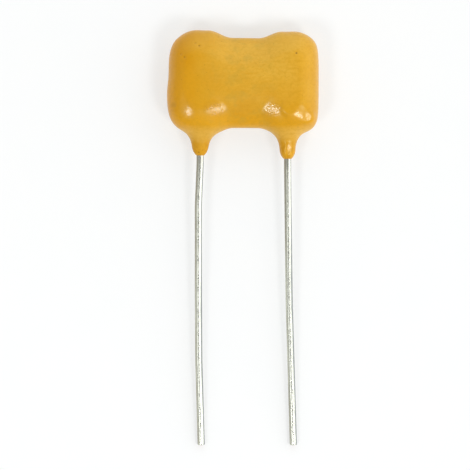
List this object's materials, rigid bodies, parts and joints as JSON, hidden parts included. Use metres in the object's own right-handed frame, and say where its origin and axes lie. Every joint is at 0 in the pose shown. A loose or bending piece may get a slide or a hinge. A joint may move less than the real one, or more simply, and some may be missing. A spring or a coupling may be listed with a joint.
{
  "type": "mica capacitor",
  "caption": "Dipped mica capacitor: ochre resin coat with a waist between rounded lobes, and straight tinned wire leads for soldering through a board.",
  "frame": {"origin": "middle of the footprint, on the surface that the part lies on", "axes": "+Y along the leads from their tips to the body, +Z out of the front face, +X to the right seen from the front"},
  "size_m": [0.0152, 0.0416, 0.0048],
  "materials": {
    "coat": "glossy dipped resin, ochre, with slight runs and pits",
    "tinned_wire": "drawn tinned copper, bright, with lengthwise die marks",
    "clip_brass": "plain rolled strip",
    "mica": "split mica with fired silver electrodes",
    "foil": "dull tin-lead foil"
  },
  "bodies": {
    "root": {"coating": "coat", "lead_left": "tinned_wire", "lead_right": "tinned_wire", "clip_left": "clip_brass", "clip_right": "clip_brass", "mica_plate_1": "mica", "mica_plate_2": "mica", "mica_plate_3": "mica", "mica_plate_4": "mica", "mica_plate_5": "mica", "mica_plate_6": "mica", "mica_plate_7": "mica", "mica_plate_8": "mica", "mica_plate_9": "mica", "foil_1": "foil", "foil_2": "foil", "foil_3": "foil", "foil_4": "foil", "foil_5": "foil", "foil_6": "foil", "foil_7": "foil", "foil_8": "foil", "foil_9": "foil", "foil_10": "foil"}
  },
  "joints": []
}
